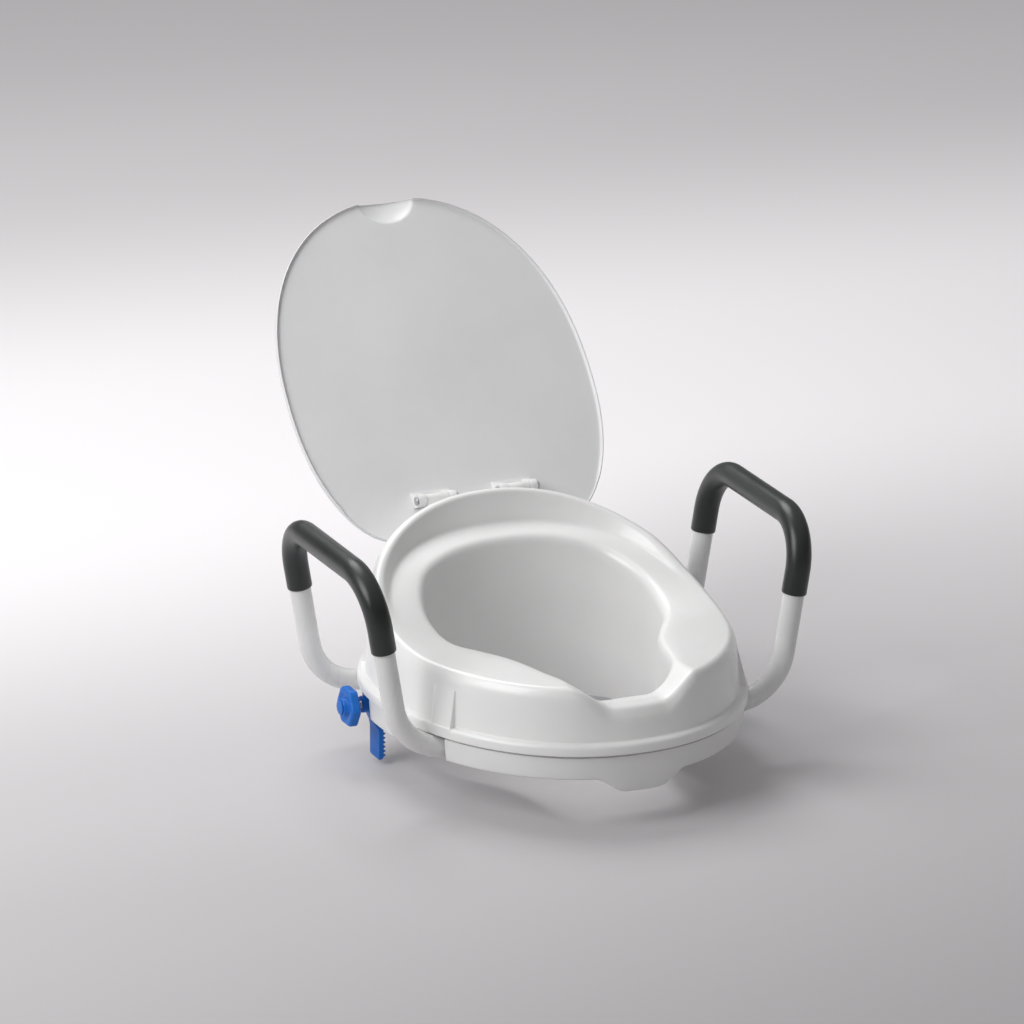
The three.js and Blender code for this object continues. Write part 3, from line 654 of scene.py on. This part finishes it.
# ---------------------------------------------------------------- lid
def lid_reach(angle):
    power = np.where(np.sin(angle) > 0, LID["tip_power"], LID["rear_power"])
    along = np.abs(np.sin(angle)) / np.where(np.sin(angle) > 0, LID["tip"], LID["rear"])
    egg = ((np.abs(np.cos(angle)) / LID["half_width"]) ** power + along**power) ** (-1 / power)
    from_rear = np.abs(np.degrees(angle) - 270)
    middle = (LID_CUT["middle"] - LID_CUT["hinges"]) * smooth_step((from_rear - LID_CUT["notch"]) / 3)
    corner = (LID_CUT["corners"] - LID_CUT["middle"]) * smooth_step((from_rear - LID_CUT["corner"]) / 6)
    line = LID["centre"] + LID_CUT["hinges"] + middle + corner
    cut_off = line / np.maximum(1e-6, np.abs(np.sin(angle)))
    trimmed = (egg**-14 + cut_off**-14) ** (-1 / 14)
    return np.where(np.sin(angle) > 0, egg, trimmed)


def scoop_depth(x, y):
    distance = np.hypot(x / SCOOP["half_width"], (y - LID["centre"] - LID["tip"]) / SCOOP["length"])
    return SCOOP["depth"] * np.clip(1 - distance**2, 0, None) ** 0.9


def lid_panel():
    """Thin lid: flat panel, turned lip, finger scoop at the tip, notch between the rear corners.

    It is made lying flat with its underside up, then turned to the open rest position.
    """
    fine = np.concatenate([np.arange(76, 104, 0.4), np.arange(240, 252, 0.5), np.arange(289, 301, 0.5)])
    angles = np.radians(np.unique(np.round(np.concatenate([np.arange(0, 360, 1.5), fine]), 2)))
    reach = lid_reach(angles)
    x_tip = np.abs(reach * np.cos(angles))
    near_scoop = (np.sin(angles) > 0.6) * smooth_step((SCOOP["half_width"] + 3 - x_tip) / 6)
    at_rear = smooth_step((-np.sin(angles) - 0.62) / 0.06)
    lip = LID_LIP * (1 - np.maximum(near_scoop, at_rear)) + 0.6
    inner_shares = [0.3, 0.5, 0.66, 0.78] + list(np.arange(0.84, 0.975, 0.008))
    rows = [(share * np.ones_like(reach), np.zeros_like(reach)) for share in inner_shares]
    width = LID_LIP_WIDTH
    # From the foot of the lip, over it and down the edge, to the flat outside of the lid.
    for inset, height in (
        (width + 2.2, 0 * lip),
        (width + 0.9, 0.12 * lip),
        (width + 0.2, 0.5 * lip),
        (width - 0.3, 0.88 * lip),
        (width - 1.0, lip),
        (0.9, lip),
        (0.3, lip - 0.25),
        (0, lip - 0.9),
        (0, 0 * lip - LID_THICKNESS + 1.6),
        (0.35, 0 * lip - LID_THICKNESS + 0.6),
        (1.2, 0 * lip - LID_THICKNESS + 0.1),
        (2.4, 0 * lip - LID_THICKNESS),
    ):
        rows.append((1 - inset / reach, height))
    back = np.full_like(reach, -LID_THICKNESS)
    rows += [(share * np.ones_like(reach), back) for share in reversed(inner_shares)]
    points = []
    for share, height in rows:
        x = share * reach * np.cos(angles)
        y = LID["centre"] + share * reach * np.sin(angles)
        points.append(np.stack([x, y, height - scoop_depth(x, y)], axis=1))
    points = np.array(points).transpose(1, 0, 2)
    stations, count = points.shape[:2]
    flat = points.reshape(-1, 3)
    faces = ring_faces(stations, count, closed_section=False)
    under, over = len(flat), len(flat) + 1
    flat = np.vstack([flat, (0, LID["centre"], 0), (0, LID["centre"], -LID_THICKNESS)])
    for i in range(stations):
        j = (i + 1) % stations
        faces.append((under, i * count, j * count))
        faces.append((over, j * count + count - 1, i * count + count - 1))
    mesh = mesh_from("lid_panel", lid_to_world(flat), faces)
    return make_object("lid_panel", mesh, "lid_body", "lid_plastic", ["lid"])


def lid_to_world(points):
    """From the lid's flat frame (Y to the tip, Z out of the underside) to the open rest position."""
    tilt = math.radians(90 - LID_LEAN)
    x, y, z = points.T
    return np.stack([
        x,
        LID_FOOT_Y + y * math.cos(tilt) - z * math.sin(tilt),
        LID_FOOT_Z + y * math.sin(tilt) + z * math.cos(tilt),
    ], axis=1)


# ---------------------------------------------------------------- turned and bevelled small parts
def turned(name, profile, origin, axis, around=48):
    """A closed turned piece: profile is (radius, distance along axis) from axis to axis."""
    angles = np.linspace(0, 2 * math.pi, around, endpoint=False)
    points = [[(r * math.cos(a), r * math.sin(a), h) for r, h in profile] for a in angles]
    flat = np.array(points).reshape(-1, 3)
    turn = np.array(Vector((0, 0, 1)).rotation_difference(Vector(axis)).to_matrix())
    flat = flat @ turn.T + np.array(origin)
    return mesh_from(name, flat, ring_faces(around, len(profile), closed_section=False))


def refined(node, body, slot, bevel, segments=3):
    """A CAD node's own shape with its edges rounded off."""
    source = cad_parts[node]
    mesh = source.data.copy()
    obj = make_object(f"{node}_finished", mesh, body, slot, [node])
    shape = bmesh.new()
    shape.from_mesh(mesh)
    bmesh.ops.remove_doubles(shape, verts=shape.verts, dist=2e-6)
    bmesh.ops.dissolve_limit(shape, angle_limit=math.radians(1), verts=shape.verts, edges=shape.edges)
    sharp = [e for e in shape.edges if len(e.link_faces) == 2 and e.calc_face_angle(0) > math.radians(32)]
    bmesh.ops.bevel(
        shape,
        geom=sharp,
        offset=bevel * MM,
        offset_type="OFFSET",
        segments=segments,
        profile=0.5,
        affect="EDGES",
        clamp_overlap=True,
    )
    shape.to_mesh(mesh)
    shape.free()
    mesh.shade_smooth()
    mesh.set_sharp_from_angle(angle=SHARP_ANGLE)
    return obj


def clamp_knob(hand, side):
    """Six-lobed hand knob with rounded rim, dished face and raised hub."""
    around = 144
    angles = np.linspace(0, 2 * math.pi, around, endpoint=False)
    lobe = 1 - 0.105 * (0.5 - 0.5 * np.cos(6 * angles)) ** 0.7
    depth = KNOB_OUTER - KNOB_INNER
    rows = [
        (3.9, 0, 0), (8.6, 0, 0), (9, 0.4, 0), (9, 1.7, 0), (9.6, 2.1, 0), (17.8, 2.1, 1), (19.8, 2.6, 1),
        (20.8, 3.6, 1), (21, 5, 1), (21, depth - 3.4, 1), (20.7, depth - 1.8, 1), (19.8, depth - 0.5, 1),
        (18.2, depth, 1), (15.5, depth - 0.2, 0.6), (12.8, depth - 1.6, 0.2), (10.2, depth - 1.6, 0),
        (9.2, depth - 0.8, 0), (9, depth + 3, 0), (8.5, depth + 3.9, 0), (7.9, depth + 4, 0),
        (3.9, depth + 4, 0),
    ]
    points = []
    for radius, height, share in rows:
        reach = radius * (1 + (lobe - 1) * share)
        x = np.full(around, side * (KNOB_INNER + height))
        y = CLAMP_Y + reach * np.cos(angles)
        z = CLAMP_Z + reach * np.sin(angles)
        points.append(np.stack([x, y, z], axis=1))
    points = np.array(points).transpose(1, 0, 2)
    mesh = mesh_from("knob", points.reshape(-1, 3), ring_faces(around, len(rows)))
    name = f"clamp_knob_{hand}_wheel"
    return make_object(name, mesh, f"screw_{hand}", "blue_plastic", [f"clamp_knob_{hand}"])


def turned_between(name, node, body, slot, profile, around=48):
    """Replaces a round CAD node by a turned piece along X that starts at the node's inner face."""
    low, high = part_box(node)
    low, high = np.array(low) / MM, np.array(high) / MM
    inner_first = abs(low[0]) < abs(high[0])
    start = low[0] if inner_first else high[0]
    axis = (1, 0, 0) if inner_first else (-1, 0, 0)
    origin = (start, (low[1] + high[1]) / 2, (low[2] + high[2]) / 2)
    mesh = turned(name, profile, origin, axis, around)
    obj = make_object(name, mesh, body, slot, [node])
    mesh.set_sharp_from_angle(angle=SHARP_ANGLE)
    return obj


def thread_profile(radius, start, end, pitch=2.0, depth=0.55):
    """Ridges that stand for a screw thread between two distances."""
    points = []
    count = int((end - start) / pitch)
    for i in range(count):
        at = start + i * pitch
        points += [(radius - depth, at), (radius, at + pitch * 0.4), (radius, at + pitch * 0.6)]
    points.append((radius - depth, start + count * pitch))
    return points


def clamp_parts(hand, side):
    screw, jaw = f"screw_{hand}", f"jaw_{hand}"
    clamp_knob(hand, side)
    rod = [(0, 0), (3.0, 0), (3.5, 0.6), (3.5, 27)]
    rod += [(5.4, 27.3), (5.8, 27.6), (5.8, 29.4), (5.4, 29.8), (3.5, 30)]
    rod += thread_profile(3.5, 31, 70)
    rod += [(3.5, 71), (3.5, 85.4), (3.0, 86), (0, 86)]
    turned_between(f"clamp_rod_{hand}_threaded", f"clamp_rod_{hand}", screw, "steel", rod)
    cap = [(0, 0), (7.3, 0), (7.5, 0.2), (7.5, 0.8), (7.1, 1.3), (5, 1.6), (0, 1.7)]
    turned_between(f"knob_cap_{hand}_disc", f"knob_cap_{hand}", screw, "blue_plastic", cap)
    refined(f"rod_clip_{hand}", screw, "steel", 0.25)
    refined(f"clamp_jaw_{hand}", jaw, "blue_plastic", 0.7)
    refined(f"clamp_bearing_{hand}", "seat", "tray_plastic", 0.9)


def hinge_parts(hand):
    refined(f"lid_hinge_{hand}", "lid_body", "white_plastic", 0.6)
    refined(f"hinge_bracket_{hand}", "seat", "white_plastic", 0.9)
    pin = [(0, 0), (3.9, 0), (4.4, 0.5), (4.4, 1.4), (4.0, 1.8), (3, 1.9)]
    pin += [(3, 44.7), (4.0, 44.8), (4.4, 45.2), (4.4, 46.1), (3.9, 46.6), (0, 46.6)]
    turned_between(f"hinge_pin_{hand}_turned", f"hinge_pin_{hand}", "seat", "steel", pin)
    for place in ("inner", "outer"):
        refined(f"bracket_screw_{place}_{hand}", "seat", "steel", 0.5)


def arm_parts(hand, side):
    arm_tube(hand, side)
    arm_grip(hand, side)
    for end in ("front", "rear"):
        refined(f"tube_plug_{end}_{hand}", f"arm_{hand}", "dark_foam", 0.5)
        refined(f"arm_socket_{end}_{hand}", "seat", "tray_plastic", 1.0)
        for letter in "ab":
            refined(f"socket_screw_{letter}_{end}_{hand}", "seat", "steel", 0.4)


def rim_pads():
    for end in ("front", "rear"):
        for hand in SIDES:
            refined(f"rim_pad_{end}_{hand}", "seat", "grey_rubber", 0.8)


# ---------------------------------------------------------------- stage, light and camera
# Metres. Tone and glow are (share of the band, grey) along Y: tone is the floor's grey with a painted lighter
# band behind the object, glow is a painted glow, strongest in that band, that makes the floor shine though it
# is no lamp. SKY is (height of the view ray, grey).
FLOOR = {
    "gap": 0.006,
    "reach": 60,
    "band_start": -1.0,
    "band_end": 2.7,
    "tint": (1, 0.965, 0.99),
    "tone": ((0.0, 0.42), (0.28, 0.5), (0.52, 0.82), (0.62, 0.82), (0.86, 0.64), (1.0, 0.6)),
    "glow": ((0.0, 0.0), (0.2, 0.04), (0.3, 0.1), (0.54, 0.14), (0.62, 0.14), (0.82, 0.08), (1.0, 0.08)),
}
SKY = ((0.0, 0.55), (0.07, 0.55), (0.11, 0.04), (1.0, 0.52))
CAMERA = {
    "azimuth": -23.67,
    "elevation": 18.28,
    "distance": 9.0,
    "pixels_per_metre": 992,
    "right": -0.0413,
    "up": 0.1964,
}
SENSOR_WIDTH, IMAGE_WIDTH = 36, 1024


def greys(stops, tint=(1, 1, 1)):
    return [(position, tuple(grey * part for part in tint)) for position, grey in stops]


def backdrop():
    """A pale floor that runs past every camera, with painted light: a lighter band painted behind the object,
    and a painted glow, strongest in that band, that makes the floor shine though it is no lamp.
    """
    level = CAD_BOUNDS[0][2] - FLOOR["gap"]
    reach = FLOOR["reach"]
    corners = [(-reach, -reach, level), (reach, -reach, level), (reach, reach, level), (-reach, reach, level)]
    mesh = bpy.data.meshes.new("backdrop")
    mesh.from_pydata(corners, [], [(0, 1, 2, 3)])
    material, nodes, links, shader = new_material("backdrop_paper_painted_light")
    place = nodes.new("ShaderNodeTexCoord")
    apart = nodes.new("ShaderNodeSeparateXYZ")
    links.new(place.outputs["Object"], apart.inputs["Vector"])
    along = nodes.new("ShaderNodeMapRange")
    along.inputs["From Min"].default_value = FLOOR["band_start"]
    along.inputs["From Max"].default_value = FLOOR["band_end"]
    links.new(apart.outputs["Y"], along.inputs["Value"])
    # Painted light: the first ramp paints a lighter band on the floor behind the object, and the second makes
    # the floor glow though it is no lamp.
    for stops, tint, socket in (
        (FLOOR["tone"], FLOOR["tint"], "Base Color"),
        (FLOOR["glow"], (1, 1, 1), "Emission Color"),
    ):
        ramp = add_ramp(nodes, greys(stops, tint), "EASE")
        links.new(along.outputs["Result"], ramp.inputs["Fac"])
        links.new(ramp.outputs["Color"], shader.inputs[socket])
    # Full strength for the floor's painted glow.
    shader.inputs["Emission Strength"].default_value = 1.0
    shader.inputs["Roughness"].default_value = 0.95
    mesh.materials.append(material)
    link("backdrop", mesh)


def area_light(name, place, target, size, power):
    """A square soft box that faces its target."""
    light = bpy.data.lights.new(name, "AREA")
    light.shape = "SQUARE"
    light.size = size
    light.energy = power
    obj = link(name, light)
    obj.location = place
    obj.rotation_euler = (Vector(target) - Vector(place)).to_track_quat("-Z", "Y").to_euler()


def lights():
    """Two soft boxes and a sky that is bright overhead, dark low down and pale at the horizon."""
    middle = (0, 0.05, 0.12)
    area_light("key_left", (-2.45, -0.5, 1.85), middle, 1.7, 52)
    area_light("top_back", (-0.4, 1.5, 2.4), middle, 1.6, 38)
    world = bpy.data.worlds.new("studio")
    world.use_nodes = True
    nodes, links = world.node_tree.nodes, world.node_tree.links
    place = nodes.new("ShaderNodeTexCoord")
    apart = nodes.new("ShaderNodeSeparateXYZ")
    links.new(place.outputs["Generated"], apart.inputs["Vector"])
    sky = add_ramp(nodes, greys(SKY))
    links.new(apart.outputs["Z"], sky.inputs["Fac"])
    links.new(sky.outputs["Color"], nodes["Background"].inputs["Color"])
    bpy.context.scene.world = world


def camera():
    """A long lens that frames the whole object from the front left, a little above."""
    azimuth, elevation = math.radians(CAMERA["azimuth"]), math.radians(CAMERA["elevation"])
    right = Vector((math.cos(azimuth), math.sin(azimuth), 0))
    level = math.cos(elevation)
    back = Vector((math.sin(azimuth) * level, -math.cos(azimuth) * level, math.sin(elevation)))
    up = back.cross(right)
    data = bpy.data.cameras.new("camera")
    data.sensor_width = SENSOR_WIDTH
    data.lens = CAMERA["pixels_per_metre"] * CAMERA["distance"] * SENSOR_WIDTH / IMAGE_WIDTH
    data.clip_end = 60
    place = right * CAMERA["right"] + up * CAMERA["up"] + back * CAMERA["distance"]
    obj = link("camera", data)
    obj.matrix_world = Matrix.Translation(place) @ Matrix((right, up, back)).transposed().to_4x4()
    bpy.context.scene.camera = obj


seat_shell()
base_tray()
lid_panel()
rim_pads()
for hand, side in SIDES.items():
    arm_parts(hand, side)
    clamp_parts(hand, side)
    hinge_parts(hand)
backdrop()
lights()
camera()
bpy.context.scene.view_settings.view_transform = "Standard"
